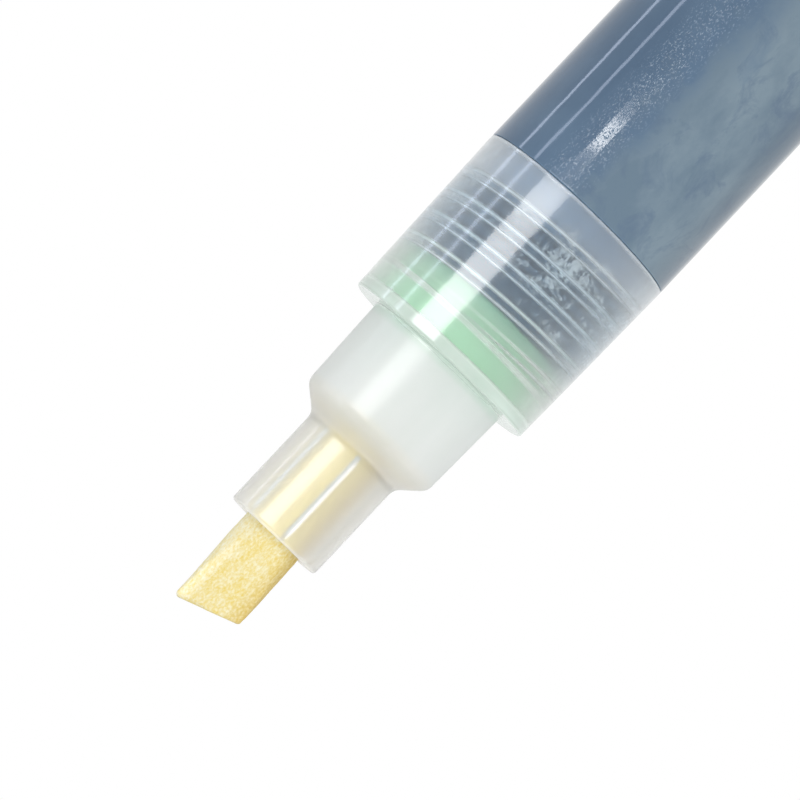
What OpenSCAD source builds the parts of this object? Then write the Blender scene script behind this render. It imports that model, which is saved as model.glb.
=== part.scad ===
// Acrylic paint marker with a pump valve, a chisel nib and its cap posted on the rear end.
// The marker stands on the closed end of its cap: z = 0 is the table and +Z runs to the nib.
// All sizes are in millimetres.

/* [Barrel] */
// Outside diameter of the barrel
barrel_d = 20; // [19:0.5:22]
// Length of the full-width barrel, from rear plug to collar
barrel_len = 93.3; // [70:0.1:120]
// Wall thickness of the barrel
barrel_wall = 1.2; // [1:0.1:1.4]
// Diameter of the steel mixing ball
ball_d = 8; // [6:0.5:10]
// Share of the paint chamber that is filled
paint_share = 0.9; // [0.3:0.05:0.9]

/* [Thread] */
// Pitch of the thread that joins neck and collar
thread_pitch = 2.5; // [2.3:0.1:2.7]
// Height of a thread ridge
thread_h = 0.6; // [0.5:0.05:0.65]

/* [Nozzle] */
// Length of the threaded collar
collar_len = 17.5; // [17:0.5:20]
// Difference between the collar's rear and front diameters
collar_taper = 0.7; // [0.2:0.1:1]
// Length of the wide nozzle body in front of the collar
nozzle_len = 8.9; // [8:0.1:10]
// Diameter of the nozzle body where it leaves the collar
nozzle_d = 14.6; // [14.4:0.1:15]
// Length of the cone between nozzle body and nib sleeve
cone_len = 1.9; // [1.5:0.1:2.5]
// Length of the nib sleeve
sleeve_len = 10.1; // [8:0.1:12]
// Outside diameter of the nib sleeve
sleeve_d = 9.7; // [9.2:0.1:10]

/* [Nib] */
// Diameter of the felt nib
nib_d = 6; // [5.5:0.1:6.2]
// Length of nib that stands out of the sleeve, at its long corner
nib_out = 9.6; // [7:0.1:11]
// Slant of the writing edge
nib_slant = 19; // [10:1:30]
// Angle between each bevel and the nib's middle plane
nib_bevel = 17; // [15:1:30]
// Thickness of the blunt writing edge
nib_edge = 0.9; // [0.5:0.1:1.5]
// Travel of the nib when it is pressed
nib_travel = 2; // [1:0.1:2.5]

/* [Cap] */
// Difference between the barrel's diameter and the cap's diameter at its mouth
cap_step = 0.6; // [0.4:0.1:0.8]
// Room in front of the nib inside the closed cap
cap_room = 3; // [2:0.1:8]
// Number of grip ribs around the cap's closed end
cap_ribs = 36; // [24:4:48]

/* [Hidden] */
$fn = 96;

// Colours as the photograph shows them
frosted_colour = [0.86, 0.89, 0.89, 0.6];
paint_colour = [0.44, 0.52, 0.60];
valve_colour = [0.62, 0.83, 0.69];
felt_colour = [0.95, 0.89, 0.64];
cap_colour = [0.40, 0.48, 0.57];
stem_colour = [0.93, 0.94, 0.93];
rubber_colour = [0.25, 0.27, 0.28];
steel_colour = [0.72, 0.74, 0.76];

// Gaps and small edge treatments
eps = 0.01;         // how far a cutter runs past the face that it cuts
seat_gap = 0.2;     // between end faces that stop short of each other
slip_gap = 0.05;    // between round faces that slide on each other
press_gap = 0.02;   // between round faces that only touch
edge = 0.4;         // radius or chamfer of a moulded edge

// Cap: a closed shell around a stepped liner that grips the nozzle body or the rear tail
cap_r = barrel_d / 2 - cap_step / 2;
cap_end_r = cap_r - 0.3;
cap_floor = 1.5;
cap_bore_r = cap_r - 1.3;
cap_rib_len = 12;
cap_rib_r = 0.35;
liner_wall = 1;
liner_floor_z = cap_floor + liner_wall;
cap_len = liner_floor_z + cap_room + nib_out + sleeve_len + cone_len + nozzle_len;
grip_depth = nozzle_len + cone_len + 0.2;
grip_r = nozzle_d / 2 + slip_gap;
grip_out_r = cap_bore_r - press_gap;
liner_r = sleeve_d / 2 + 0.35;
liner_top = cap_len - 0.5;
liner_step_z = cap_len - grip_depth;

// Rear plug: closes the barrel and carries the tail that the cap is posted on
plug_z = cap_len + seat_gap;
plug_flange_h = 1.8;
tail_len = 8.5;
tail_r = grip_r - slip_gap;
tail_wall = 1.4;
plug_insert_len = 6.2;
plug_top_wall = 1.2;

// Barrel and neck
barrel_r = barrel_d / 2;
bore_r = barrel_r - barrel_wall;
barrel_z0 = plug_z + plug_flange_h;
barrel_z1 = barrel_z0 + barrel_len;
chamber_z0 = barrel_z0 + plug_insert_len;
shoulder_wall = 1.6;
shoulder_edge = 0.25;
neck_r = barrel_r - 2.1;
neck_bore_r = neck_r - 1.3;
neck_len = 11.6;
neck_z1 = barrel_z1 + neck_len;

// Collar bore and thread: neck ridges and collar ridges lie half a pitch apart
collar_front_r = barrel_r - collar_taper / 2;
collar_z0 = barrel_z1 + seat_gap;
collar_z1 = collar_z0 + collar_len;
thread_clear = 0.2;
collar_bore_r = neck_r + thread_h + thread_clear;
thread_root_w = 1.2;
thread_tip_w = 0.4;
thread_bury = 0.25;             // how far a ridge's foot sits inside its wall
collar_thread_z = collar_z0 + 1.45;
neck_thread_z = collar_thread_z + thread_pitch / 2;
neck_turns = 2.8;
collar_turns = 4.9;
thread_steps = 48;              // segments in a turn
thread_fade = 0.3;              // turns over which a ridge rises from its wall
front_bore_r = neck_r + 0.3;    // the unthreaded front of the collar's bore is narrower, past a cone
front_bore_z = collar_z1 - 3.6;

// Nozzle
nozzle_r = nozzle_d / 2;
nozzle_front_r = nozzle_r - 0.25;
sleeve_r = sleeve_d / 2;
nozzle_z1 = collar_z1 + nozzle_len;
cone_z1 = nozzle_z1 + cone_len;
sleeve_z1 = cone_z1 + sleeve_len;
front_wall = 1.1;
wall_z = collar_z1 - front_wall;
cavity_r = nozzle_front_r - 1.3;
sleeve_bore_r = nib_d / 2 + 0.5;
nib_ribs = 6;
nib_rib_w = 0.4;
rib_turn = 259;                 // angle of the first nib rib, which shows on the photographed side

// Valve body and what moves in it
washer_h = 0.6;
washer_z0 = wall_z - washer_h;
flange_r = neck_r - 0.05;
washer_r = flange_r - 0.95;
plug_tube_r = neck_bore_r - slip_gap;
valve_z0 = barrel_z1 - 5;
seat_z = barrel_z1 + 5.4;
seat_web = 1.6;
seat_hole_r = 2.7;
chamber_r = neck_bore_r - 1.4;
seal_h = 1.2;
poppet_r = 4;
poppet_h = 2;
stem_r = 2.2;
stem_arm_w = 1.3;
guide_r = 1.4;
cage_r = neck_bore_r - 0.4;
cage_wall = 0.8;
cage_floor_h = 1.2;
cage_z0 = valve_z0 - 3.2;
cage_insert_len = 3;
cage_windows = 4;
cage_window_w = 3;

// Spring between the cage floor and the poppet
spring_z0 = cage_z0 + cage_floor_h;
spring_z1 = seat_z - seal_h - poppet_h;
guide_len = spring_z1 - spring_z0 - nib_travel - 3.2;
wire_d = 0.6;
spring_r = 2.5;
spring_turns = 6;
spring_steps = 8;
wire_sides = 6;

// Nib
nib_r = nib_d / 2;
nib_z0 = nozzle_z1 + 0.1;
nib_z1 = sleeve_z1 + nib_out;
nib_tip_r = nib_r - 0.05;       // the felt is ground a little slimmer towards its edge
nib_taper_z = nib_z1 - 7;
nib_corner = 0.6;               // how much is ground off the long end of the writing edge
nib_heel = 0.35;                // how much is ground off the short end
nib_mid_z = nib_z1 - nib_tip_r * tan(nib_slant);

// Paint
paint_top = chamber_z0 + paint_share * (cage_z0 - 4 - chamber_z0);
ball_z = chamber_z0 + ball_d / 2 + press_gap;

// A solid of revolution from an outline of [radius, height] points.
module turned(outline) {
    rotate_extrude() polygon(outline);
}

// Rounds off the outer edge of radius r at height z, on the top side (up = 1) or the bottom side (up = -1).
module edge_cutter(r, z, size, up) {
    rotate_extrude()
        translate([r, z])
            difference() {
                translate([-size, up > 0 ? -size : -eps]) square([size + eps, size + eps]);
                translate([-size, -up * size]) circle(size);
            }
}

// Corners of a ridge's section at one step of a helix: foot low, tip low, tip high, foot high.
function ridge_section(foot_r, tip_r, root_w, tip_w, angle, z) = [
    for (corner = [[foot_r, -root_w / 2], [tip_r, -tip_w / 2], [tip_r, tip_w / 2], [foot_r, root_w / 2]])
        [corner[0] * cos(angle), corner[0] * sin(angle), z + corner[1]]
];

// Share of the full ridge height at a step: it rises from the wall over the first turns and falls over the last.
function ridge_rise(turn, turns) = min(1, turn / thread_fade, (turns - turn) / thread_fade);

// Side faces of a swept tube of closed sections, as triangles.
function tube_sides(sections, sides, flip) = [
    for (i = [0 : sections - 2], j = [0 : sides - 1], half = [0, 1])
        let (a = i * sides + j, b = i * sides + (j + 1) % sides, c = a + sides, d = b + sides,
             face = half == 0 ? [a, b, d] : [a, d, c])
        flip ? [face[2], face[1], face[0]] : face
];

// The two end faces of a swept tube, as fans of triangles.
function tube_ends(sections, sides, flip) = [
    for (j = [1 : sides - 2], end = [0, 1])
        let (k = end * (sections - 1) * sides, face = end == 0 ? [k, k + j + 1, k + j] : [k, k + j, k + j + 1])
        flip ? [face[2], face[1], face[0]] : face
];

// A right-hand helical ridge that stands on a round wall, outwards or inwards.
module helix_ridge(wall_r, tip_r, z0, turns) {
    outward = tip_r > wall_r;
    foot_r = wall_r + (outward ? -thread_bury : thread_bury);
    sections = round(turns * thread_steps) + 1;
    points = [
        for (i = [0 : sections - 1])
            let (turn = i / thread_steps,
                 rise = ridge_rise(turn, turns),
                 low_r = wall_r + (outward ? -thread_bury / 2 : thread_bury / 2))
            each ridge_section(foot_r, low_r + (tip_r - low_r) * rise, thread_root_w, thread_tip_w,
                               360 * turn, z0 + thread_pitch * turn)
    ];
    polyhedron(points, concat(tube_sides(sections, 4, !outward), tube_ends(sections, 4, !outward)));
}

// Closed outer shell of the cap, with grip ribs around its closed end.
module cap_shell() {
    color(cap_colour) difference() {
        union() {
            cylinder(h = cap_len, r1 = cap_end_r, r2 = cap_r);
            for (i = [0 : cap_ribs - 1])
                rotate(i * 360 / cap_ribs)
                    translate([cap_end_r, 0, 2.5]) cylinder(h = cap_rib_len, r = cap_rib_r, $fn = 24);
        }
        translate([0, 0, cap_floor]) cylinder(h = cap_len, r = cap_bore_r);
        edge_cutter(cap_end_r, 0, edge, -1);
    }
}

// Stepped inner cap: the wide mouth grips the nozzle body or the rear tail, the narrow cup seals the nib sleeve.
module cap_liner() {
    color(frosted_colour) turned([
        [0, cap_floor],
        [liner_r + liner_wall, cap_floor],
        [liner_r + liner_wall, liner_step_z - liner_wall],
        [grip_out_r, liner_step_z - liner_wall],
        [grip_out_r, liner_top],
        [grip_r + edge, liner_top],
        [grip_r, liner_top - edge],
        [grip_r, liner_step_z],
        [liner_r, liner_step_z],
        [liner_r, liner_floor_z],
        [0, liner_floor_z],
    ]);
}

// Plug pressed into the open rear of the barrel, with a hollow tail for the posted cap.
module rear_plug() {
    insert_r = bore_r - press_gap;
    color(cap_colour) turned([
        [tail_r - tail_wall, plug_z - tail_len],
        [tail_r - edge, plug_z - tail_len],
        [tail_r, plug_z - tail_len + edge],
        [tail_r, plug_z],
        [barrel_r - edge, plug_z],
        [barrel_r, plug_z + edge],
        [barrel_r, barrel_z0],
        [insert_r, barrel_z0],
        [insert_r, chamber_z0 - edge],
        [insert_r - edge, chamber_z0],
        [0, chamber_z0],
        [0, chamber_z0 - plug_top_wall],
        [tail_r - tail_wall, chamber_z0 - plug_top_wall],
    ]);
}

// Barrel with a closed shoulder and a threaded neck.
module barrel() {
    color(paint_colour) {
        difference() {
            union() {
                turned([
                    [bore_r, barrel_z0],
                    [barrel_r, barrel_z0],
                    [barrel_r, barrel_z1],
                    [neck_r, barrel_z1],
                    [neck_r, neck_z1 - edge],
                    [neck_r - edge, neck_z1],
                    [neck_bore_r, neck_z1],
                    [neck_bore_r, barrel_z1 - shoulder_wall],
                    [bore_r, barrel_z1 - shoulder_wall],
                ]);
                helix_ridge(neck_r, neck_r + thread_h, neck_thread_z, neck_turns);
            }
            edge_cutter(barrel_r, barrel_z1, shoulder_edge, 1);
        }
    }
}

// Paint in the barrel, standing to its level around the mixing ball.
module paint_fill() {
    color(paint_colour) difference() {
        translate([0, 0, chamber_z0]) cylinder(h = paint_top - chamber_z0, r = bore_r - press_gap);
        translate([0, 0, ball_z]) sphere(ball_d / 2 + slip_gap);
    }
}

// Steel ball that stirs the paint when the marker is shaken.
module mixing_ball() {
    color(steel_colour) translate([0, 0, ball_z]) sphere(ball_d / 2);
}

// Valve body: a thick flange on the neck's rim, a tube inside the neck and the valve seat across it.
module valve_body() {
    color(valve_colour) difference() {
        union() {
            turned([
                [chamber_r, valve_z0],
                [plug_tube_r, valve_z0],
                [plug_tube_r, neck_z1],
                [flange_r, neck_z1],
                [flange_r, wall_z - seat_gap - edge / 2],
                [flange_r - edge / 2, wall_z - seat_gap],
                [washer_r + seat_gap / 2, wall_z - seat_gap],
                [washer_r + seat_gap / 2, washer_z0],
                [chamber_r, washer_z0],
            ]);
            for (z = [barrel_z1 + 2, neck_z1 - 3])
                translate([0, 0, z]) cylinder(h = 1, r = neck_bore_r);
        }
        translate([0, 0, valve_z0 - eps]) cylinder(h = washer_z0 - valve_z0 + 2 * eps, r = chamber_r);
    }
    color(valve_colour) difference() {
        translate([0, 0, seat_z]) cylinder(h = seat_web, r = chamber_r + eps);
        translate([0, 0, seat_z - eps]) cylinder(h = seat_web + 2 * eps, r = seat_hole_r);
    }
}

// Cup pressed into the valve body's rear end: it carries the spring and lets paint in through its windows.
module spring_cage() {
    insert_r = chamber_r - press_gap;
    window_h = valve_z0 - spring_z0 - 0.6;
    color(stem_colour) difference() {
        turned([
            [0, cage_z0],
            [cage_r - edge, cage_z0],
            [cage_r, cage_z0 + edge],
            [cage_r, valve_z0],
            [insert_r, valve_z0],
            [insert_r, valve_z0 + cage_insert_len],
            [insert_r - cage_wall, valve_z0 + cage_insert_len],
            [insert_r - cage_wall, spring_z0],
            [0, spring_z0],
        ]);
        for (i = [0 : cage_windows - 1])
            rotate(i * 360 / cage_windows)
                translate([insert_r - cage_wall - 1, -cage_window_w / 2, spring_z0 + 0.3])
                    cube([cage_r, cage_window_w, window_h]);
        translate([0, 0, cage_z0 - eps]) cylinder(h = cage_floor_h + 2 * eps, r = guide_r);
    }
}

// Point on the spring's centre line after a share of its turns, with the wire resting on both seats.
function spring_point(turn) = [
    spring_r * cos(360 * turn),
    spring_r * sin(360 * turn),
    spring_z0 + wire_d / 2 + eps + (spring_z1 - spring_z0 - wire_d - 2 * eps) * turn / spring_turns
];

// Section of the wire across the helix at one step.
function wire_section(turn) =
    let (centre = spring_point(turn), out = [cos(360 * turn), sin(360 * turn), 0])
    [for (k = [0 : wire_sides - 1])
        centre + wire_d / 2 * (out * cos(360 * k / wire_sides) + [0, 0, 1] * sin(360 * k / wire_sides))];

// Compression spring that closes the valve.
module valve_spring() {
    sections = spring_turns * spring_steps + 1;
    points = [for (i = [0 : sections - 1]) each wire_section(i / spring_steps)];
    color(steel_colour)
        polyhedron(points, concat(tube_sides(sections, wire_sides, true), tube_ends(sections, wire_sides, true)));
}

// Least distance between points of the spring's wire that lie a turn apart, less the wire's thickness.
function spring_gap() = min([
    for (i = [0 : (spring_turns - 1) * spring_steps])
        norm(spring_point(i / spring_steps + 1) - spring_point(i / spring_steps)) - wire_d
]);
echo(spring_least_gap = spring_gap());

// Valve stem: a cross-shaped push rod from the nib to the poppet, and a guide pin inside the spring.
module valve_stem() {
    poppet_z = seat_z - seal_h - poppet_h;
    rod_z = poppet_z + poppet_h;
    color(stem_colour) {
        translate([0, 0, poppet_z]) cylinder(h = poppet_h, r = poppet_r);
        translate([0, 0, poppet_z - guide_len]) cylinder(h = guide_len + eps, r = guide_r);
        intersection() {
            translate([0, 0, rod_z - eps]) cylinder(h = nib_z0 - rod_z + eps, r = stem_r);
            for (turn = [0, 90])
                rotate(turn)
                    translate([-stem_r, -stem_arm_w / 2, rod_z - eps])
                        cube([2 * stem_r, stem_arm_w, nib_z0 - rod_z + eps]);
        }
    }
}

// Rubber ring on the poppet that closes against the valve seat.
module stem_seal() {
    color(rubber_colour) turned([
        [stem_r + press_gap, seat_z - seal_h],
        [poppet_r, seat_z - seal_h],
        [poppet_r, seat_z - edge],
        [poppet_r - edge, seat_z],
        [stem_r + press_gap, seat_z],
    ]);
}

// Soft washer between the valve body's flange and the collar's front wall.
module sealing_washer() {
    color(frosted_colour) turned([
        [cavity_r, washer_z0],
        [washer_r, washer_z0],
        [washer_r, wall_z],
        [cavity_r, wall_z],
    ]);
}

// One moulding: threaded collar, nozzle body, cone and the ribbed sleeve that holds the nib.
module nozzle_collar() {
    rib_r = nib_r + slip_gap;
    color(frosted_colour) {
        difference() {
            turned([
                [0, collar_z0],
                [barrel_r, collar_z0],
                [collar_front_r, collar_z1],
                [nozzle_r, collar_z1],
                [nozzle_front_r, nozzle_z1],
                [sleeve_r, cone_z1],
                [sleeve_r, sleeve_z1],
                [0, sleeve_z1],
            ]);
            turned([
                [0, collar_z0 - eps],
                [collar_bore_r, collar_z0 - eps],
                [collar_bore_r, front_bore_z],
                [front_bore_r, front_bore_z + collar_bore_r - front_bore_r],
                [front_bore_r, wall_z],
                [cavity_r, wall_z],
                [cavity_r, nozzle_z1 - 1],
                [sleeve_bore_r, cone_z1 - 0.4],
                [sleeve_bore_r, sleeve_z1 + eps],
                [0, sleeve_z1 + eps],
            ]);
            edge_cutter(barrel_r, collar_z0, edge / 2, -1);
            edge_cutter(collar_front_r, collar_z1, edge / 2, 1);
            edge_cutter(sleeve_r, sleeve_z1, edge, 1);
        }
        helix_ridge(collar_bore_r, collar_bore_r - thread_h, collar_thread_z, collar_turns);
        for (i = [0 : nib_ribs - 1])
            rotate(rib_turn + i * 360 / nib_ribs)
                translate([rib_r, -nib_rib_w / 2, cone_z1])
                    cube([sleeve_bore_r - rib_r + 0.2, nib_rib_w, sleeve_len - 1]);
    }
}

// The half space in front of a plane through a point on the nib's middle plane, leaning about Y.
module nib_cut(x, z, lean) {
    far = 4 * nib_r;
    translate([x, 0, z]) rotate([0, lean, 0]) translate([-far, -far, 0]) cube([2 * far, 2 * far, far]);
}

// A round felt rod, ground a little slimmer to its tip, with two bevels that meet in a slanted chisel edge.
module nib_chisel() {
    far = 4 * nib_r;
    difference() {
        rotate(50) turned([
            [0, nib_z0],
            [nib_r, nib_z0],
            [nib_r, nib_taper_z],
            [nib_tip_r, nib_z1],
            [nib_tip_r, nib_z1 + 1],
            [0, nib_z1 + 1],
        ]);
        translate([0, 0, nib_mid_z]) rotate([0, -nib_slant, 0])
            for (side = [-1, 1])
                translate([0, side * nib_edge / 2, 0])
                    rotate([side * nib_bevel, 0, 0])
                        translate([-far, side > 0 ? 0 : -far, -2 * far]) cube([2 * far, far, 4 * far]);
    }
}

// Felt nib: the chisel cut along its slanted writing edge, with both corners ground off.
module nib() {
    low_z = nib_mid_z - nib_tip_r * tan(nib_slant);
    color(felt_colour) difference() {
        difference() {
            difference() {
                nib_chisel();
                nib_cut(0, nib_mid_z, -nib_slant);
            }
            nib_cut(nib_tip_r, nib_z1 - nib_corner, 35);
        }
        nib_cut(-nib_tip_r, low_z - nib_heel, -55);
    }
}

cap_shell();
cap_liner();
rear_plug();
barrel();
paint_fill();
mixing_ball();
valve_body();
spring_cage();
valve_spring();
valve_stem();
stem_seal();
sealing_washer();
nozzle_collar();
nib();
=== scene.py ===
import math

import bmesh
import bpy
import numpy as np
from mathutils import Matrix, Vector, noise


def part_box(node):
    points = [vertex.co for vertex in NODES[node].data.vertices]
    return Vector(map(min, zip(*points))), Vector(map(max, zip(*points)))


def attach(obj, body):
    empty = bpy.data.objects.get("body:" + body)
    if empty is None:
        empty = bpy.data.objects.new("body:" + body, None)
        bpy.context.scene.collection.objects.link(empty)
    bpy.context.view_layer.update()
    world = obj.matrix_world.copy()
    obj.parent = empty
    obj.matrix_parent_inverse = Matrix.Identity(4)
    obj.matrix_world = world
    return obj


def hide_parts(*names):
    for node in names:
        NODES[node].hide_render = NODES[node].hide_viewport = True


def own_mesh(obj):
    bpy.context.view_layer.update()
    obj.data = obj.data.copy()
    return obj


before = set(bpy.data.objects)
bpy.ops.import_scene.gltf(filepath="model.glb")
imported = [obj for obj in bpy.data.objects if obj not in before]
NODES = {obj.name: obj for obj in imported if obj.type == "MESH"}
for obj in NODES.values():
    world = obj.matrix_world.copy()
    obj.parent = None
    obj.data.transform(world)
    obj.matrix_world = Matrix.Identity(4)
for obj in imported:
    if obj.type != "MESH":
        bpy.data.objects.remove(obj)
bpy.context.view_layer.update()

MM = 0.001
SCENE = bpy.context.scene
SCENE.view_settings.view_transform = "Standard"


# Sizes of the replaced pieces, in millimetres: outer sizes from the frame, the rest close to the source


def heights(node):
    """Lowest and highest point of a CAD node."""
    low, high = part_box(node)
    return low.z / MM, high.z / MM


COLLAR_Z0, SLEEVE_Z1 = heights("nozzle_collar")
BARREL_Z0, NECK_Z1 = heights("barrel")
NIB_Z0, NIB_Z1 = heights("nib")
WALL_Z = heights("sealing_washer")[1]
SPRING_Z0, SPRING_Z1 = heights("valve_spring")
BARREL_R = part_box("barrel")[1].x / MM

# Collar; a short cone leads from its threaded bore to the narrower front of the bore
COLLAR_Z1 = WALL_Z + 1.1
COLLAR_FRONT_R = BARREL_R - 0.35
COLLAR_BORE_R = BARREL_R - 1.3
FRONT_BORE_R = BARREL_R - 1.8
BORE_CONE_Z0 = COLLAR_Z1 - 3.6
BORE_CONE_Z1 = BORE_CONE_Z0 + (COLLAR_BORE_R - FRONT_BORE_R)

# Nozzle body, cone and sleeve
NOZZLE_R = 7.3
NOZZLE_FRONT_R = 7.05
NOZZLE_Z1 = COLLAR_Z1 + 8.9
CAVITY_R = NOZZLE_FRONT_R - 1.3
CAVITY_Z1 = NOZZLE_Z1 - 1
CONE_Z1 = NOZZLE_Z1 + 1.9
SLEEVE_R = 4.85
SLEEVE_BORE_R = 3.5
SLEEVE_BORE_Z0 = CONE_Z1 - 0.4

# Ribs in the sleeve
RIB_R = 3.05
RIB_COUNT = 6
RIB_WIDTH = 0.45
RIB_TURN = math.radians(259)
RIB_Z1 = SLEEVE_Z1 - 1

# Barrel and neck; the seam to the collar is closed further than the room that the solids keep
BARREL_Z1 = COLLAR_Z0 - 0.2
SHOULDER_Z = COLLAR_Z0 - 0.06
SHOULDER_WALL = 1.6
BARREL_BORE_R = BARREL_R - 1.2
NECK_R = BARREL_R - 2.1
NECK_BORE_R = NECK_R - 1.3

# Threads of collar and neck
PITCH = 2.5
THREAD_H = 0.6
THREAD_ROOT = 1.2
THREAD_TIP = 0.4
THREAD_FADE = 0.5
COLLAR_THREAD_Z = COLLAR_Z0 + 1.45
COLLAR_TURNS = 4.9
NECK_THREAD_Z = COLLAR_THREAD_Z + PITCH / 2
NECK_TURNS = 2.8

# Rounding of edges: how far from a corner it starts
CRISP_EDGE = 0.1
SEAM_EDGE = 0.12
FINE_EDGE = 0.15
COLLAR_EDGE = 0.25
INNER_EDGE = 0.3
NECK_EDGE = 0.35
MOUTH_EDGE = 0.4
CONE_EDGE = 0.6

# Nib; lengths along it are measured back from the middle of its edge
NIB_R = 3.0
NIB_TIP_R = 2.95
NIB_TAPER = 7.0
NIB_SLANT = math.radians(19)
NIB_SLANT_END = 8.0
NIB_BEVEL = math.radians(17)
NIB_EDGE = 0.9
NIB_CORNER = 0.65
NIB_HEEL = 0.25
NIB_LEAN = 0.17
NIB_LEAN_END = 7.3
NIB_LEAN_LENGTH = 5.0

# Valve spring
WIRE_D = 0.6
SPRING_R = 2.5
SPRING_TURNS = 6


# Colours


def linear(value):
    """One sRGB channel, 0 to 255, as a linear value."""
    value = value / 255
    return value / 12.92 if value <= 0.04045 else ((value + 0.055) / 1.055) ** 2.4


def rgb(red, green, blue):
    """An sRGB colour, 0 to 255, as a linear colour with alpha 1."""
    return (linear(red), linear(green), linear(blue), 1.0)


# Material helpers


# Most values of a noise lie between these
NOISE_LOW, NOISE_HIGH = 0.3, 0.7


class Shader:
    """A node material around one Principled shader."""

    def __init__(self, name):
        self.material = bpy.data.materials.new(name)
        self.material.use_nodes = True
        self.nodes = self.material.node_tree.nodes
        self.links = self.material.node_tree.links
        self.bsdf = self.nodes["Principled BSDF"]
        self.place = self.nodes.new("ShaderNodeTexCoord").outputs["Object"]

    def set(self, **values):
        """Sets constants on the shader's own sockets, named with underscores for blanks."""
        for name, value in values.items():
            self.bsdf.inputs[name.replace("_", " ")].default_value = value

    def feed(self, **sockets):
        """Links node outputs to the shader's own sockets, named as for set."""
        for name, socket in sockets.items():
            self.links.new(socket, self.bsdf.inputs[name.replace("_", " ")])

    def stretch(self, x, y, z):
        """Object coordinates in metres, times a factor along each axis."""
        node = self.nodes.new("ShaderNodeVectorMath")
        node.operation = "MULTIPLY"
        self.links.new(self.place, node.inputs[0])
        node.inputs[1].default_value = (x, y, z)
        return node.outputs["Vector"]

    def axis(self, letter):
        """One object coordinate in metres."""
        node = self.nodes.new("ShaderNodeSeparateXYZ")
        self.links.new(self.place, node.inputs[0])
        return node.outputs[letter]

    def mask(self, name):
        """A value that the mesh carries on its points."""
        node = self.nodes.new("ShaderNodeAttribute")
        node.attribute_name = name
        return node.outputs["Fac"]

    def inside(self):
        """One where light meets the skin from within the piece, else zero."""
        return self.nodes.new("ShaderNodeNewGeometry").outputs["Backfacing"]

    def grazing(self):
        """Zero where the skin faces the viewer, rising to one at its edges."""
        node = self.nodes.new("ShaderNodeLayerWeight")
        node.inputs["Blend"].default_value = 0.5
        return node.outputs["Facing"]

    def noise(self, place, scale, detail=3.0, roughness=0.55, distortion=0.0):
        """A cloudy pattern around one half; the scale is about the number of lumps in a metre."""
        node = self.nodes.new("ShaderNodeTexNoise")
        self.links.new(place, node.inputs["Vector"])
        node.inputs["Scale"].default_value = scale
        node.inputs["Detail"].default_value = detail
        node.inputs["Roughness"].default_value = roughness
        node.inputs["Distortion"].default_value = distortion
        return node.outputs["Fac"]

    def ramp(self, value, *stops):
        """A colour ramp; each stop is a position and a colour."""
        node = self.nodes.new("ShaderNodeValToRGB")
        self.links.new(value, node.inputs["Fac"])
        elements = node.color_ramp.elements
        while len(elements) < len(stops):
            elements.new(0.5)
        for element, (position, colour) in zip(elements, stops):
            element.position = position
            element.color = colour
        return node.outputs["Color"]

    def between(self, value, low, high, to_low, to_high):
        """Maps a value from one range to another, held at both ends."""
        node = self.nodes.new("ShaderNodeMapRange")
        self.links.new(value, node.inputs["Value"])
        for name, number in zip(("From Min", "From Max", "To Min", "To Max"), (low, high, to_low, to_high)):
            node.inputs[name].default_value = number
        return node.outputs["Result"]

    def by_noise(self, value, to_low, to_high):
        """Maps the usual range of a noise to another range."""
        return self.between(value, NOISE_LOW, NOISE_HIGH, to_low, to_high)

    def tones(self, value, dark, light):
        """A colour between two tones, by a noise."""
        return self.ramp(value, (NOISE_LOW, dark), (NOISE_HIGH, light))

    def sums(self, operation, first, second):
        """A math node on two values; the second may be a number."""
        node = self.nodes.new("ShaderNodeMath")
        node.operation = operation
        self.links.new(first, node.inputs[0])
        if isinstance(second, bpy.types.NodeSocket):
            self.links.new(second, node.inputs[1])
        else:
            node.inputs[1].default_value = second
        return node.outputs["Value"]

    def mix(self, factor, first, second):
        """One colour passing into another."""
        node = self.nodes.new("ShaderNodeMix")
        node.data_type = "RGBA"
        sockets = [s for s in node.inputs if s.enabled]
        for socket, value in zip(sockets, (factor, first, second)):
            if isinstance(value, bpy.types.NodeSocket):
                self.links.new(value, socket)
            else:
                socket.default_value = value
        return [s for s in node.outputs if s.enabled][0]

    def bump(self, height, strength, distance):
        """Shades the skin as if it were raised by a value times a distance in metres."""
        node = self.nodes.new("ShaderNodeBump")
        self.links.new(height, node.inputs["Height"])
        node.inputs["Strength"].default_value = strength
        node.inputs["Distance"].default_value = distance
        self.feed(Normal=node.outputs["Normal"])

    def absorb(self, colour, density):
        """Fills the piece with a substance that takes up light along its path."""
        node = self.nodes.new("ShaderNodeVolumeAbsorption")
        node.inputs["Color"].default_value = colour
        node.inputs["Density"].default_value = density
        self.links.new(node.outputs["Volume"], self.nodes["Material Output"].inputs["Volume"])

    def on(self, *objects):
        """Gives objects this material alone."""
        for thing in objects:
            thing.data.materials.clear()
            thing.data.materials.append(self.material)


# Mesh helpers


def finish_mesh(name, points, faces, sharp_angle, masks=None):
    """A smooth-shaded object from points in millimetres, with edges kept sharp above an angle in degrees."""
    mesh = bpy.data.meshes.new(name)
    mesh.from_pydata((np.asarray(points) * MM).tolist(), [], faces)
    work = bmesh.new()
    work.from_mesh(mesh)
    bmesh.ops.recalc_face_normals(work, faces=work.faces)
    work.to_mesh(mesh)
    work.free()
    mesh.shade_smooth()
    mesh.set_sharp_from_angle(angle=math.radians(sharp_angle))
    for mask, values in (masks or {}).items():
        mesh.attributes.new(mask, "FLOAT", "POINT").data.foreach_set("value", np.asarray(values, np.float32))
    thing = bpy.data.objects.new(name, mesh)
    SCENE.collection.objects.link(thing)
    return thing


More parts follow.
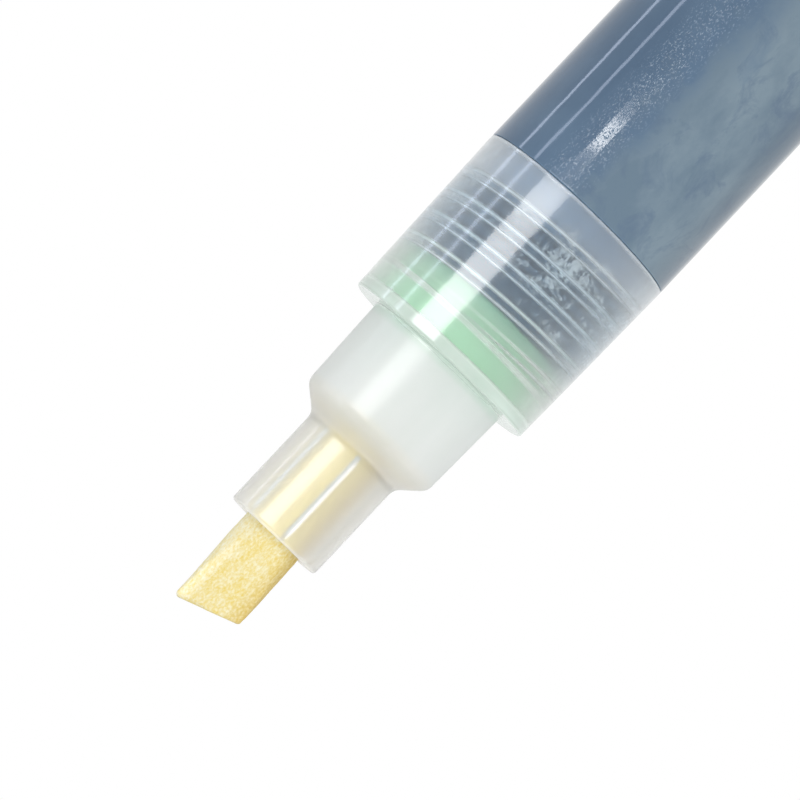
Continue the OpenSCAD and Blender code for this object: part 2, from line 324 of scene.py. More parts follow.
def rounded(corners, steps=6, hold=0.04):
    """A closed outline of (radius, height) points through (radius, height, cut, rows) corners. Each corner
    is rounded off from a distance before it to the same distance after it. The side that follows it has rows
    and, a little way from both ends, a row that keeps the shading of the roundings off the side."""
    count = len(corners)
    places = [np.array(c[:2], float) for c in corners]
    points = []
    for i, (_, _, cut, rows) in enumerate(corners):
        here, before, after = places[i], places[i - 1], places[(i + 1) % count]
        start = here + (before - here) / np.linalg.norm(before - here) * cut
        ahead = (after - here) / np.linalg.norm(after - here)
        end = here + ahead * cut
        for t in np.linspace(0, 1, steps if cut > 0 else 1):
            points.append((1 - t) ** 2 * start + 2 * t * (1 - t) * here + t ** 2 * end)
        length = np.linalg.norm(after - here) - cut - corners[(i + 1) % count][2]
        margin = min(hold, length / 4)
        for k in np.linspace(margin, length - margin, rows + 1):
            points.append(end + ahead * k)
    return np.array(points)


def ring_faces(rows, columns, closed):
    """Quads between the rows of a grid whose columns run round."""
    faces = []
    for i in range(rows if closed else rows - 1):
        k = (i + 1) % rows
        for j in range(columns):
            m = (j + 1) % columns
            faces.append((i * columns + j, i * columns + m, k * columns + m, k * columns + j))
    return faces


def turns_round(columns):
    """The angles of a turned piece's columns."""
    return np.linspace(0, 2 * math.pi, columns, endpoint=False)[None, :]


def lathe(name, outline, angle, radius_at, sharp_angle=40, masks=None):
    """A closed outline turned about the marker's axis; radius_at gives the radius at each angle and point."""
    columns = angle.shape[1]
    radius = radius_at(angle, outline[:, :1], outline[:, 1:])
    height = np.broadcast_to(outline[:, 1:], radius.shape)
    points = np.stack([radius * np.cos(angle), radius * np.sin(angle), height], -1).reshape(-1, 3)
    values = {mask: np.broadcast_to(grid, radius.shape).ravel() for mask, grid in (masks or {}).items()}
    return finish_mesh(name, points, ring_faces(len(outline), columns, True), sharp_angle, values)


def close_to(radius, wanted):
    """Where an outline's radius is that of a certain wall."""
    tolerance = 0.01
    return np.abs(radius - wanted) < tolerance


def smooth_step(amount):
    """Passes from zero to one with soft ends."""
    amount = np.clip(amount, 0, 1)
    return amount ** 2 * (3 - 2 * amount)


def ridge(angle, height, start, turns):
    """Section of a right-hand helical ridge at each angle and height, and the share of its rise there."""
    part = angle / (2 * math.pi)
    along = (height - start) / PITCH - part
    nearest = np.round(along)
    off = np.abs(along - nearest) * PITCH
    total = nearest + part
    section = smooth_step((THREAD_ROOT / 2 - off) / ((THREAD_ROOT - THREAD_TIP) / 2))
    fade = np.clip(np.minimum(total, turns - total) / THREAD_FADE, 0, 1)
    return section, fade


def tube(name, path, radius, sides):
    """A round wire along a path of points, with flat ends."""
    path = np.asarray(path)
    along = np.gradient(path, axis=0)
    along /= np.linalg.norm(along, axis=1)[:, None]
    out = path * (1, 1, 0)
    out /= np.linalg.norm(out, axis=1)[:, None]
    side = np.cross(along, out)
    turn = np.linspace(0, 2 * math.pi, sides, endpoint=False)[None, :, None]
    points = path[:, None] + radius * (np.cos(turn) * out[:, None] + np.sin(turn) * side[:, None])
    faces = ring_faces(len(path), sides, False)
    faces.append(tuple(range(sides)))
    faces.append(tuple(range((len(path) - 1) * sides, len(path) * sides)))
    return finish_mesh(name, points.reshape(-1, 3), faces, sharp_angle=60)


def stands_for(piece, node, body):
    """Puts a piece in a CAD node's place."""
    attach(piece, body)
    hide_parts(node)
    return piece


# Frosted nozzle: collar, nozzle body, cone and sleeve in one moulding


def rib_section(angle):
    """Height of the ribs in the sleeve, round the axis, as a share of their full height."""
    step = 2 * math.pi / RIB_COUNT
    nearest = np.round((angle - RIB_TURN) / step) * step + RIB_TURN
    return smooth_step(1 - np.abs(angle - nearest) * SLEEVE_BORE_R / (RIB_WIDTH / 2))


def nozzle_angles():
    """Columns round the nozzle: evenly spread ones, and more on each rib."""
    columns = 150
    columns_on_rib = 7
    reach = RIB_WIDTH / 2 / SLEEVE_BORE_R
    on_ribs = RIB_TURN + turns_round(RIB_COUNT).T + np.linspace(-reach, reach, columns_on_rib)
    return np.unique(np.append(turns_round(columns), on_ribs % (2 * math.pi)))[None, :]


def bore_thread(angle, radius, height):
    """Section of the thread in the collar's bore, and the share of its rise."""
    section, fade = ridge(angle, height, COLLAR_THREAD_Z, COLLAR_TURNS)
    return section * (close_to(radius, COLLAR_BORE_R) & (height < BORE_CONE_Z0)), fade


def sleeve_ribs(angle, radius, height):
    """Section of the ribs in the sleeve's bore."""
    return rib_section(angle) * (close_to(radius, SLEEVE_BORE_R) & (height > CONE_Z1) & (height < RIB_Z1))


def nozzle_radius(angle, radius, height):
    """The outline's radius with the thread and the ribs on it."""
    section, fade = bore_thread(angle, radius, height)
    ribs = sleeve_ribs(angle, radius, height)
    return radius - THREAD_H * section * fade - (SLEEVE_BORE_R - RIB_R) * ribs


def nozzle_masks(outline, angle):
    """Values on the nozzle's points: matte insides, the collar's bore, painted glints and painted streaks.
    The glints are painted white on a thread's flanks, all over a rib and on the bore's cone; the streaks,
    painted highlights, lie on the sleeve's skin above the ribs."""
    front_matte = 0.6
    bore_matte = 0.7
    room = 0.2
    bore_room = 0.05
    cone_room = 0.1
    cone_glint = 0.3
    streak_z0 = CONE_Z1 + 0.7
    streak_z1 = SLEEVE_Z1 - 0.5
    radius, height = outline[:, :1], outline[:, 1:]
    wall = np.interp(height, [CAVITY_Z1, SLEEVE_BORE_Z0], [CAVITY_R, SLEEVE_BORE_R])
    front = (radius < wall + room) & (height < SLEEVE_Z1 - room) & (height > WALL_Z)
    bore = (radius < COLLAR_BORE_R + bore_room) & (height < WALL_Z)
    section, fade = bore_thread(angle, radius, height)
    # Painted reflection: white at the middle of each thread flank, over the ribs and, fainter, on the bore's
    # cone
    thread_glint = 4 * section * (1 - section) * fade
    rib_glint = np.clip(4 * sleeve_ribs(angle, radius, height), 0, 1)
    on_cone = (height > BORE_CONE_Z0 - cone_room) & (height < BORE_CONE_Z1 + cone_room)
    painted_glint = np.maximum(np.maximum(thread_glint, rib_glint), cone_glint * (on_cone & bore))
    # Painted highlight: streaks on the sleeve's skin over the ribs
    on_sleeve = close_to(radius, SLEEVE_R) & (height > streak_z0) & (height < streak_z1)
    return {"matte": front_matte * front + bore_matte * bore, "bore": bore, "painted_glint": painted_glint,
            "streak": rib_section(angle) * on_sleeve}


def make_nozzle():
    """The moulding, turned from an outline that runs up its outside and back down its inside."""
    bore_rows = 350
    outline = rounded([
        (BARREL_R, COLLAR_Z0, SEAM_EDGE, 2),
        (COLLAR_FRONT_R, COLLAR_Z1, COLLAR_EDGE, 2),
        (NOZZLE_R, COLLAR_Z1, COLLAR_EDGE, 2),
        (NOZZLE_FRONT_R, NOZZLE_Z1, CONE_EDGE, 2),
        (SLEEVE_R, CONE_Z1, CONE_EDGE, 16),
        (SLEEVE_R, SLEEVE_Z1, MOUTH_EDGE, 1),
        (SLEEVE_BORE_R, SLEEVE_Z1, FINE_EDGE, 12),
        (SLEEVE_BORE_R, CONE_Z1, 0, 12),
        (SLEEVE_BORE_R, SLEEVE_BORE_Z0, INNER_EDGE, 2),
        (CAVITY_R, CAVITY_Z1, INNER_EDGE, 2),
        (CAVITY_R, WALL_Z, CRISP_EDGE, 2),
        (FRONT_BORE_R, WALL_Z, CRISP_EDGE, 3),
        (FRONT_BORE_R, BORE_CONE_Z1, CRISP_EDGE, 1),
        (COLLAR_BORE_R, BORE_CONE_Z0, CRISP_EDGE, bore_rows),
        (COLLAR_BORE_R, COLLAR_Z0, CRISP_EDGE, 1),
    ])
    angle = nozzle_angles()
    return lathe("frosted_nozzle", outline, angle, nozzle_radius, masks=nozzle_masks(outline, angle))


def share(z):
    """A height as a share of the nozzle, from the collar's rear to the sleeve's mouth."""
    return (z - COLLAR_Z0) / (SLEEVE_Z1 - COLLAR_Z0)


def up_nozzle(*stops):
    """Ramp stops along the nozzle, from heights with colours or grey levels."""
    return [(share(z), tone if isinstance(tone, tuple) else (tone, tone, tone, 1)) for z, tone in stops]


def frosted_tint(shader, height):
    """The plastic's colour: bluish over the threads, greenish at the front wall, warm at the cone."""
    return shader.ramp(height, *up_nozzle(
        (COLLAR_Z0 + 3.4, rgb(230, 240, 247)),
        (COLLAR_Z0 + 4.2, rgb(218, 235, 246)),
        (COLLAR_Z0 + 9, rgb(218, 235, 246)),
        (COLLAR_Z0 + 13, rgb(244, 251, 247)),
        (WALL_Z - 0.2, rgb(240, 251, 244)),
        (WALL_Z + 0.2, rgb(215, 236, 223)),
        (COLLAR_Z1 + 0.2, rgb(215, 236, 223)),
        (COLLAR_Z1 + 1, rgb(236, 242, 239)),
        (CAVITY_Z1, rgb(238, 242, 239)),
        (NOZZLE_Z1 + 1, rgb(244, 239, 224)),
        (CONE_Z1 + 1, rgb(252, 250, 244)),
    ))


def frosted_clearness(shader, height, facing_away):
    """Share of the light that passes the skin: more in collar and sleeve than in the nozzle's thick body, and
    less where the skin turns away and in the streaks, which are painted highlights."""
    clear = shader.ramp(height, *up_nozzle(
        (COLLAR_Z0, 0.6),
        (COLLAR_Z0 + 0.25, 0.74),
        (COLLAR_Z0 + 0.4, 0.885),
        (COLLAR_Z0 + 3, 0.885),
        (COLLAR_Z0 + 3.6, 0.955),
        (NECK_Z1, 0.95),
        (NECK_Z1 + 1, 0.87),
        (WALL_Z - 0.2, 0.86),
        (WALL_Z + 0.1, 0.4),
        (CAVITY_Z1, 0.45),
        (CONE_Z1 - 0.1, 0.68),
        (CONE_Z1 + 0.1, 0.85),
        (SLEEVE_Z1 - 0.3, 0.85),
        (SLEEVE_Z1, 0.5),
    ))
    veil_level = shader.ramp(height, *up_nozzle(
        (NECK_Z1, 1), (NECK_Z1 + 1, 0.6), (CONE_Z1, 0.6), (CONE_Z1 + 1, 1.4)))
    veil = shader.sums("MULTIPLY", shader.between(facing_away, 0.04, 0.22, 0, 0.07), veil_level)
    # Painted highlight: the streaks let less light through and show as pale lines
    streak_level = shader.between(facing_away, 0.1, 0.35, 0.5, 0.12)
    streak = shader.sums("MULTIPLY", shader.mask("streak"), streak_level)
    return shader.sums("SUBTRACT", shader.sums("SUBTRACT", clear, veil), streak)


def dried_paint(shader, height):
    """Crumbs of paint with dust between them in the collar's bore, in clusters, with more towards the barrel
    and the -X side."""
    crumbs = shader.noise(shader.place, scale=1900, detail=5, roughness=0.65, distortion=1.5)
    clusters = shader.noise(shader.stretch(1, 1, 1.4), scale=310, detail=2)
    sideways = shader.between(shader.axis("X"), -1 * MM, 3 * MM, 0.04, -0.09)
    rearwards = shader.between(height, share(COLLAR_Z0 + 3.5), share(COLLAR_Z0 + 7.5), 0.04, -0.02)
    crumbs = shader.sums("ADD", crumbs, shader.between(clusters, 0.35, 0.65, -0.12, 0.12))
    crumbs = shader.sums("ADD", crumbs, sideways)
    crumbs = shader.sums("ADD", crumbs, rearwards)
    dust = shader.between(crumbs, 0.42, 0.60, 0, 0.13)
    paint = shader.sums("MAXIMUM", shader.between(crumbs, 0.57, 0.68, 0, 0.8), dust)
    front_end = shader.between(height, share(COLLAR_Z0 + 10.5), share(COLLAR_Z0 + 9.5), 0, 1)
    rear_end = shader.between(height, share(COLLAR_Z0 + 1.7), share(COLLAR_Z0 + 2.9), 0, 1)
    for limit in (shader.mask("bore"), front_end, rear_end):
        paint = shader.sums("MULTIPLY", paint, limit)
    return paint


def frosted_material():
    """Frosted plastic with glints painted white on thread flanks, ribs and the bore's cone, and dried paint
    in the collar's bore.
    """
    shader = Shader("frosted_plastic")
    cloud = shader.noise(shader.stretch(1, 1, 0.4), scale=420, detail=4)
    height = shader.between(shader.axis("Z"), COLLAR_Z0 * MM, SLEEVE_Z1 * MM, 0, 1)
    facing_away = shader.grazing()
    # Dried paint, with the painted glints of the thread flanks, ribs and bore cone
    white = shader.sums("MAXIMUM", dried_paint(shader, height), shader.mask("painted_glint"))
    plastic = shader.mix(shader.by_noise(cloud, 0, 0.25), frosted_tint(shader, height), rgb(255, 255, 255))
    on_nozzle = shader.between(height, share(COLLAR_Z1), share(COLLAR_Z1 + 0.5), 0, 1)
    frost = shader.between(height, share(NOZZLE_Z1), share(CONE_Z1), 0.17, 0.15)
    skin = shader.sums("ADD", shader.by_noise(cloud, 0.14, 0.18), shader.sums("MULTIPLY", on_nozzle, frost))
    haze = shader.between(facing_away, 0.15, 0.5, 0, 0.09)
    inner = shader.between(shader.mask("matte"), 0, 1, 0, 0.4)
    passing = shader.sums("MAXIMUM", frosted_clearness(shader, height, facing_away), shader.inside())
    outer = shader.between(shader.inside(), 0, 1, 1, 0)
    gloss = shader.ramp(height, *up_nozzle(
        (COLLAR_Z1, 0.6), (COLLAR_Z1 + 0.5, 0.08), (NOZZLE_Z1, 0.08), (CONE_Z1, 0.35)))
    shader.feed(Base_Color=shader.mix(white, plastic, rgb(246, 251, 252)),
                Roughness=shader.sums("ADD", skin, shader.sums("MAXIMUM", haze, inner)),
                Transmission_Weight=shader.sums("SUBTRACT", passing, white),
                Coat_Weight=shader.sums("MULTIPLY", outer, gloss))
    shader.set(IOR=1.49, Coat_Roughness=0.11)
    shader.absorb(colour=(0.60, 0.67, 0.66, 1), density=40)
    return shader


nozzle = stands_for(make_nozzle(), "nozzle_collar", "nozzle")
frosted_material().on(nozzle)


# Barrel: a glossy wall in the colours of the paint behind it, with a threaded neck


def barrel_radius(angle, radius, height):
    """The outline's radius with the neck's thread on it."""
    section, fade = ridge(angle, height, NECK_THREAD_Z, NECK_TURNS)
    return radius + THREAD_H * section * fade * (close_to(radius, NECK_R) & (height > SHOULDER_Z))


def make_barrel():
    """Barrel and neck, turned from an outline that runs up the outside and back down the bore."""
    columns = 192
    neck_rows = 190
    bore_z1 = BARREL_Z1 - SHOULDER_WALL
    outline = rounded([
        (BARREL_R, BARREL_Z0, FINE_EDGE, 1),
        (BARREL_R, SHOULDER_Z, SEAM_EDGE, 1),
        (NECK_R, SHOULDER_Z, FINE_EDGE, neck_rows),
        (NECK_R, NECK_Z1, NECK_EDGE, 1),
        (NECK_BORE_R, NECK_Z1, CRISP_EDGE, 1),
        (NECK_BORE_R, bore_z1, CRISP_EDGE, 1),
        (BARREL_BORE_R, bore_z1, INNER_EDGE, 1),
        (BARREL_BORE_R, BARREL_Z0, CRISP_EDGE, 1),
    ])
    return lathe("painted_barrel", outline, turns_round(columns), barrel_radius)


def barrel_paint(shader, patches):
    """Paint behind the wall: a deep tone on the +X side and a cloudy, paler thin layer on the other, whose
    paleness is partly painted light, with painted shade along the -X edge.
    """
    across = shader.axis("X")
    deep = shader.ramp(patches, (0.35, rgb(73, 98, 124)), (0.65, rgb(85, 110, 135)))
    # The paler tone on the -X side is partly painted light from that side; its patches and blots are the
    # paint's own
    film_and_painted_light = shader.ramp(patches, (0.40, rgb(96, 117, 134)), (0.60, rgb(117, 136, 149)))
    blots = shader.noise(shader.stretch(1, 1, 0.7), scale=330, detail=5, roughness=0.65, distortion=0.8)
    film_and_painted_light = shader.mix(shader.between(blots, 0.50, 0.64, 0, 0.6), film_and_painted_light, rgb(86, 107, 130))
    # Painted shade: darker towards the -X edge
    film_and_painted_light = shader.mix(shader.between(across, -9.8 * MM, -7.5 * MM, 0.6, 0), film_and_painted_light, rgb(84, 100, 114))
    edge = shader.sums("ADD", across, shader.by_noise(patches, -3 * MM, 3 * MM))
    return shader.mix(shader.between(edge, -1.2 * MM, 2.2 * MM, 1, 0), deep, film_and_painted_light)


def barrel_pits_and_glints(shader):
    """Fine pitting in the wall, in a band along the photographed side; the same mask carries painted glints.
    """
    across = shader.axis("X")
    band = shader.between(across, 0.4 * MM, 1.6 * MM, 0, 1)
    band = shader.sums("MULTIPLY", band, shader.between(across, 5.2 * MM, 4.2 * MM, 0, 1))
    band = shader.sums("MULTIPLY", band, shader.between(shader.axis("Y"), -1 * MM, 1 * MM, 1, 0))
    grain = shader.noise(shader.stretch(1, 1, 0.6), scale=7000, detail=2)
    return shader.sums("MULTIPLY", shader.between(grain, 0.55, 0.70, 0, 1), band)


def barrel_material():
    """A glossy skin with slow waves and fine pitting with painted glints, in the paint's colours; the neck
    has tones of its own.
    """
    shader = Shader("barrel_plastic")
    patches = shader.noise(shader.stretch(1, 1, 0.6), scale=150, detail=5, roughness=0.6)
    pits_and_glints = barrel_pits_and_glints(shader)
    # Painted highlight: pale glints on the pitting in the band
    painted_pit_glints = shader.between(pits_and_glints, 0, 1, 0, 0.35)
    paint = shader.mix(painted_pit_glints, barrel_paint(shader, patches), rgb(160, 178, 196))
    height = shader.axis("Z")
    up_neck = shader.between(height, BARREL_Z1 * MM, NECK_Z1 * MM, 0, 1)
    neck = shader.ramp(up_neck, (0.0, rgb(126, 156, 184)), (0.25, rgb(122, 152, 178)),
                       (0.4, rgb(38, 86, 114)))
    on_neck = shader.between(height, (SHOULDER_Z - 0.05) * MM, (SHOULDER_Z + 0.05) * MM, 0, 1)
    shader.feed(Base_Color=shader.mix(on_neck, paint, neck), Roughness=shader.by_noise(patches, 0.05, 0.08))
    waves = shader.between(shader.noise(shader.stretch(1, 1, 0.5), scale=240, detail=2), 0.2, 0.8, 0, 5)
    relief = shader.sums("ADD", shader.sums("MULTIPLY", pits_and_glints, 1.6), waves)
    shader.bump(relief, strength=0.35, distance=0.01 * MM)
    shader.set(IOR=1.45)
    return shader


barrel = stands_for(make_barrel(), "barrel", "barrel")
barrel_material().on(barrel)


# Felt nib: a rod ground to a slanted chisel edge, with the uneven skin of pressed fibre


def roughen(points):
    """Moves points out from the marker's axis, or in, by the lumps of pressed fibre."""
    lumps_per_mm = 2.2
    smoothness = 0.6
    finer_by = 2.1
    layers = 4
    depth = 0.012
    highest = 0.2
    for point in points.reshape(-1, 3):
        lump = noise.fractal(Vector(point) * lumps_per_mm, smoothness, finer_by, layers)
        point[:2] *= 1 + depth * min(lump, highest)


def make_nib():
    """The nib as rings of points, from the chisel's edge back to its rear end."""
    columns = 168
    end_count = 14
    row_step = 0.11
    corner_power = 14
    thinnest = 0.05
    tiny = 1e-6

    # Rows run back from the chisel's edge; the first ones follow the rounding of the edge
    corner_loss = NIB_CORNER * (1 + math.tan(NIB_SLANT) - 1 / math.cos(NIB_SLANT))
    middle = NIB_Z1 + corner_loss - NIB_TIP_R * math.tan(NIB_SLANT)
    rear = middle - NIB_Z0
    end_rows = NIB_CORNER * np.linspace(0, 1, end_count) ** 2
    depth = np.concatenate([end_rows, np.arange(NIB_CORNER + row_step, rear, row_step), [rear]])[:, None]
    angle = turns_round(columns)
    rounding = NIB_HEEL + (NIB_CORNER - NIB_HEEL) * np.clip(np.cos(angle), 0, 1) ** 2
    inset = rounding - np.sqrt(rounding ** 2 - np.clip(rounding - depth, 0, None) ** 2)

    # The section is the round rod cut by the chisel's two flats, with the corners between them eased
    wide = NIB_R - (NIB_R - NIB_TIP_R) * np.clip((NIB_TAPER - depth) / NIB_TAPER, 0, 1) - inset
    half = NIB_EDGE / 2 + depth * math.cos(NIB_SLANT) * math.tan(NIB_BEVEL) - inset
    flat = np.maximum(half / np.maximum(np.abs(np.sin(angle)), tiny), thinnest)
    radius = (wide ** -corner_power + flat ** -corner_power) ** (-1 / corner_power)

    # Rows near the edge lie along its slant, and the free end leans a little
    x = radius * np.cos(angle)
    y = radius * np.sin(angle)
    slope = math.tan(NIB_SLANT) * np.clip((rear - depth) / (rear - NIB_SLANT_END), 0, 1)
    z = middle - depth + x * slope
    x = x - NIB_LEAN * np.clip((NIB_LEAN_END - depth) / NIB_LEAN_LENGTH, 0, 1)
    points = np.stack([x, y, z], -1)
    roughen(points)

    # Strips of quads close the chisel's edge
    rows = len(depth)
    faces = ring_faces(rows, columns, False)
    for j in range(columns // 2 - 1):
        faces.append((j, j + 1, columns - 2 - j, columns - 1 - j))
    faces.append(tuple(range((rows - 1) * columns, rows * columns)))
    return finish_mesh("felt_nib", points.reshape(-1, 3), faces, sharp_angle=70)


def felt_material():
    """Porous felt with painted light: brighter inside the sleeve and on the +X side, and painted shade on the
    -X side.
    """
    broad_share = 0.4
    shader = Shader("felt")
    across = shader.axis("X")
    pores = shader.noise(shader.stretch(1, 1, 0.6), scale=4800, detail=5, roughness=0.65)
    patches = shader.noise(shader.stretch(1, 1, 0.5), scale=1300, detail=3, roughness=0.5)
    fine = shader.ramp(pores, (0.34, rgb(217, 189, 82)), (0.5, rgb(221, 207, 152)),
                       (0.66, rgb(233, 229, 206)))
    broad = shader.ramp(patches, (0.35, rgb(225, 204, 118)), (0.65, rgb(231, 224, 188)))
    felt = shader.mix(broad_share, fine, broad)
    # Painted light: inside the sleeve the felt is a brighter plain yellow
    in_sleeve = shader.between(shader.axis("Z"), (SLEEVE_Z1 - 0.6) * MM, SLEEVE_Z1 * MM, 1, 0)
    felt = shader.mix(in_sleeve, felt, rgb(255, 244, 190))
    # Painted shade: a darker copy of the felt towards the -X side
    shaded = shader.ramp(pores, (0.36, rgb(196, 166, 82)), (0.64, rgb(216, 194, 126)))
    felt = shader.mix(shader.between(across, -2.9 * MM, -1.4 * MM, 0.75, 0), felt, shaded)
    # Painted light: a paler copy of the felt towards the +X side
    lit = shader.ramp(pores, (0.36, rgb(248, 233, 164)), (0.64, rgb(255, 254, 236)))
    shader.feed(Base_Color=shader.mix(shader.between(across, 1.4 * MM, 2.7 * MM, 0, 0.8), felt, lit))
    shader.bump(pores, strength=0.4, distance=0.1 * MM)
    shader.set(Roughness=0.92, Specular_IOR_Level=0.2)
    return shader


nib = stands_for(make_nib(), "nib", "nib")
felt_material().on(nib)


# Valve spring: a smooth wire coil; in the real marker it shortens as the valve opens


def make_spring():
    """A helix of even pitch between the two ends of the CAD spring."""
    steps = 40
    sides = 12
    turn = np.arange(SPRING_TURNS * steps + 1) / steps
    angle = 2 * math.pi * turn
    low, high = SPRING_Z0 + WIRE_D / 2, SPRING_Z1 - WIRE_D / 2
    height = low + (high - low) * turn / SPRING_TURNS
    path = np.stack([SPRING_R * np.cos(angle), SPRING_R * np.sin(angle), height], -1)
    return tube("spring_coil", path, WIRE_D / 2, sides)


def steel_material(name):
    """Bright steel with a faint cloudy grain."""
    shader = Shader(name)
    grain = shader.noise(shader.place, scale=1500, detail=3)
    shader.feed(Base_Color=shader.tones(grain, rgb(180, 182, 185), rgb(200, 202, 205)),
                Roughness=shader.by_noise(grain, 0.2, 0.32))
    shader.set(Metallic=1.0)
    return shader


spring = stands_for(make_spring(), "valve_spring", "barrel")
steel_material("spring_steel").on(spring)
steel_material("steel").on(NODES["mixing_ball"])
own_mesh(spring)


# Finishes of the other CAD nodes


def plain_plastic(name, scale, dark, light, rough_low, rough_high):
    """An opaque moulded plastic with a faint cloudy grain."""
    shader = Shader(name)
    grain = shader.noise(shader.place, scale=scale, detail=3)
    shader.feed(Base_Color=shader.tones(grain, dark, light),
                Roughness=shader.by_noise(grain, rough_low, rough_high))
    shader.bump(shader.noise(shader.place, scale=5 * scale, detail=2), strength=0.1, distance=0.02 * MM)
    return shader


def green_material():
    """Pale-green plastic, with painted shade that darkens it towards the neck."""
    painted_shade_length = 3.4
    shader = plain_plastic("green_plastic", 500, rgb(169, 230, 188), rgb(177, 234, 195), 0.35, 0.5)
    pale = shader.bsdf.inputs["Base Color"].links[0].from_socket
    # Painted shade: full at the neck's height, fading out over a short length forwards
    painted_shade_near_neck = shader.between(shader.axis("Z"), NECK_Z1 * MM, (NECK_Z1 + painted_shade_length) * MM, 1, 0)
    shader.feed(Base_Color=shader.mix(painted_shade_near_neck, pale, rgb(138, 195, 164)))
    return shader


plain_plastic("cap_plastic", 260, rgb(82, 101, 122), rgb(92, 111, 131), 0.16, 0.24).on(
    NODES["cap_shell"], NODES["rear_plug"])
green_material().on(NODES["valve_body"])
plain_plastic("white_plastic", 600, rgb(232, 234, 232), rgb(242, 244, 242), 0.3, 0.45).on(
    NODES["valve_stem"], NODES["spring_cage"])
plain_plastic("seal_rubber", 900, rgb(52, 55, 57), rgb(64, 67, 69), 0.55, 0.7).on(NODES["stem_seal"])
plain_plastic("paint", 200, rgb(98, 114, 134), rgb(110, 126, 146), 0.12, 0.22).on(NODES["paint_fill"])
natural = plain_plastic("natural_plastic", 420, rgb(228, 233, 231), rgb(238, 242, 240), 0.2, 0.3)
natural.set(Transmission_Weight=0.35)
natural.on(NODES["cap_liner"], NODES["sealing_washer"])


# Camera: the marker's tip points to the lower left of the picture and leans a little towards the viewer


# Lens and sensor are in millimetres, and the scale holds at the reference point
PIXELS = 800
PIXELS_PER_MM = 11.55
AXIS_ANGLE = math.radians(46.7)
TIP_LEAN = math.radians(3.7)
LENS = 250.0
SENSOR = 36.0
REFERENCE_POINT = Vector((0, 0, (COLLAR_Z1 + 0.2) * MM))
REFERENCE_PIXEL = (436.65, 362.42)


def make_camera():
    """A camera that sees the reference point at its pixel. The rows of its turn are the marker's own axes as
    the camera sees them."""
    data = bpy.data.cameras.new("camera")
    data.sensor_width = SENSOR
    data.lens = LENS
    data.clip_start = 0.01
    data.clip_end = 100
    metres_per_pixel = MM / PIXELS_PER_MM
    distance = PIXELS * metres_per_pixel * LENS / SENSOR
    x_axis = Vector((-math.sin(AXIS_ANGLE), math.cos(AXIS_ANGLE), 0))
    z_axis = Vector((-math.cos(AXIS_ANGLE) * math.cos(TIP_LEAN), -math.sin(AXIS_ANGLE) * math.cos(TIP_LEAN),
                     math.sin(TIP_LEAN)))
    turn = Matrix((x_axis, z_axis.cross(x_axis), z_axis))
    offset = Vector(((REFERENCE_PIXEL[0] - PIXELS / 2) * metres_per_pixel,
                     (PIXELS / 2 - REFERENCE_PIXEL[1]) * metres_per_pixel, -distance))
    camera = bpy.data.objects.new("camera", data)
    camera.matrix_world = Matrix.Translation(REFERENCE_POINT - turn @ offset) @ turn.to_4x4()
    SCENE.collection.objects.link(camera)
    SCENE.camera = camera


make_camera()


# Light: a white room, strips that show only as reflections, and a soft lamp at the tip


KEY_SIDE = (-0.35, -1.0, 0.2)
KEY_FALLOFF = 2
ROOM_DARK = 0.48
ROOM_BRIGHT = 1.45
COOL = (0.88, 0.96, 1.16)


def make_world():
    """A room that lights the marker most from the key side, and looks plain white in the picture, in
    reflections and through clear plastic."""
    world = bpy.data.worlds.new("room")
    world.use_nodes = True
    nodes = world.node_tree.nodes
    links = world.node_tree.links
    nodes["Background"].inputs["Color"].default_value = (1, 1, 1, 1)
    along = nodes.new("ShaderNodeVectorMath")
    along.operation = "DOT_PRODUCT"
    links.new(nodes.new("ShaderNodeTexCoord").outputs["Generated"], along.inputs[0])
    along.inputs[1].default_value = Vector(KEY_SIDE).normalized()
    towards = nodes.new("ShaderNodeMapRange")
    links.new(along.outputs["Value"], towards.inputs["Value"])
    towards.inputs["From Min"].default_value = -1
    falloff = nodes.new("ShaderNodeMath")
    falloff.operation = "POWER"
    links.new(towards.outputs["Result"], falloff.inputs[0])
    falloff.inputs[1].default_value = KEY_FALLOFF
    level = nodes.new("ShaderNodeMapRange")
    links.new(falloff.outputs["Value"], level.inputs["Value"])
    level.inputs["To Min"].default_value = ROOM_DARK
    level.inputs["To Max"].default_value = ROOM_BRIGHT
    path = nodes.new("ShaderNodeLightPath")
    straight = path.outputs["Is Camera Ray"]
    for ray in ("Is Glossy Ray", "Is Transmission Ray"):
        either = nodes.new("ShaderNodeMath")
        either.operation = "MAXIMUM"
        links.new(straight, either.inputs[0])
        links.new(path.outputs[ray], either.inputs[1])
        straight = either.outputs["Value"]
    seen = nodes.new("ShaderNodeMix")
    links.new(straight, seen.inputs[0])
    links.new(level.outputs["Result"], seen.inputs[2])
    seen.inputs[3].default_value = 1.0
    links.new(seen.outputs[0], nodes["Background"].inputs["Strength"])
    SCENE.world = world


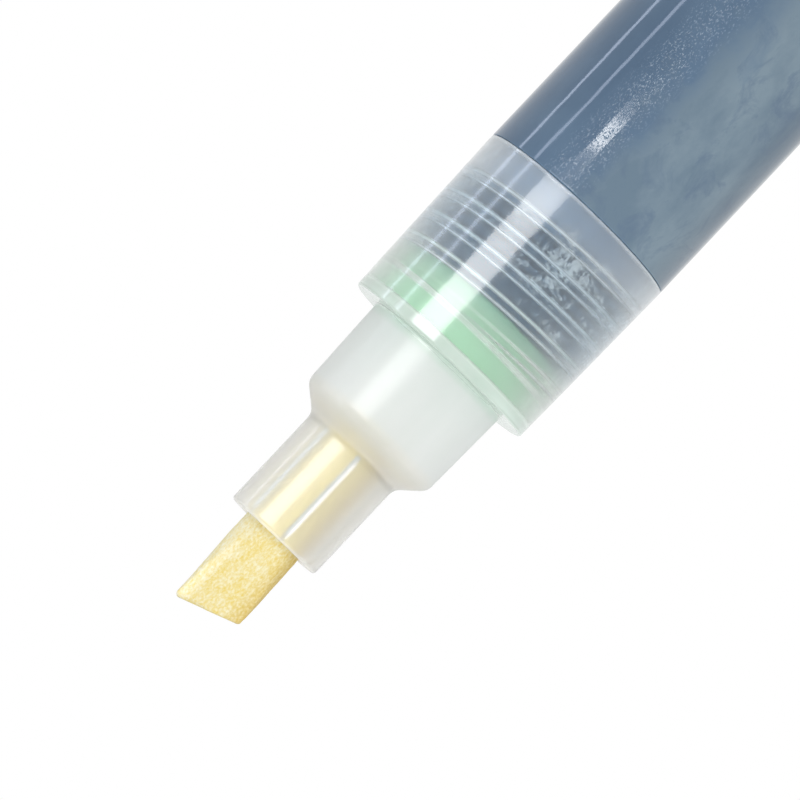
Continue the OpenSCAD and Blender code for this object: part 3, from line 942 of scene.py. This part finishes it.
def make_strip(name, angle, width, low_z, high_z, strength, colour=(1, 1, 1), distance=300, soft=False):
    """A strip lamp along the marker, at an angle from the viewer round to the +X side, in millimetres and
    degrees. It is unseen itself. It shows only as a reflection or, if soft, as light on and in surfaces."""
    data = bpy.data.lights.new(name, "AREA")
    data.shape = "RECTANGLE"
    data.size = width * MM
    data.size_y = (high_z - low_z) * MM
    data.color = colour
    data.energy = strength * math.pi * data.size * data.size_y
    lamp = bpy.data.objects.new(name, data)
    up = Vector((0, 0, 1))
    direction = Vector((math.sin(math.radians(angle)), -math.cos(math.radians(angle)), 0))
    turn = Matrix((up.cross(direction), up, direction)).transposed().to_4x4()
    place = direction * distance + up * (low_z + high_z) / 2
    lamp.matrix_world = Matrix.Translation(place * MM) @ turn
    lamp.visible_camera = False
    lamp.visible_glossy = not soft
    lamp.visible_diffuse = soft
    lamp.visible_transmission = soft
    SCENE.collection.objects.link(lamp)


make_world()
make_strip("strip_main", angle=33, width=170, low_z=COLLAR_Z0 - 23, high_z=SLEEVE_Z1 + 45.1, strength=8)
for letter, side_angle in (("a", 71), ("b", 95.4)):
    make_strip("strip_thin_" + letter, angle=side_angle, width=18, low_z=-150, high_z=450, strength=5,
               colour=COOL)
make_strip("strip_spot", angle=31.8, width=70, low_z=COLLAR_Z0 - 44.5, high_z=COLLAR_Z0 - 39, strength=20)
make_strip("strip_rib", angle=-22.6, width=14, low_z=CONE_Z1 - 5.8, high_z=SLEEVE_Z1 + 2.1, strength=18)
make_strip("tip_fill", angle=8, width=50, low_z=COLLAR_Z1 - 1, high_z=SLEEVE_Z1 + 2.1, strength=1.6,
           distance=55, soft=True)


# Floor


def make_floor():
    """A round sheet of pale paper under the marker."""
    radius = 450
    sides = 96
    angle = turns_round(sides)[0]
    points = np.stack([radius * np.cos(angle), radius * np.sin(angle), np.zeros(sides)], -1) * MM
    mesh = bpy.data.meshes.new("floor")
    mesh.from_pydata(points.tolist(), [], [tuple(range(sides))])
    floor = bpy.data.objects.new("floor", mesh)
    SCENE.collection.objects.link(floor)
    shader = Shader("floor_paper")
    grain = shader.noise(shader.place, scale=300, detail=3)
    shader.feed(Base_Color=shader.tones(grain, rgb(246, 246, 246), rgb(250, 250, 250)))
    shader.set(Roughness=0.9, Specular_IOR_Level=0.0)
    shader.on(floor)


make_floor()
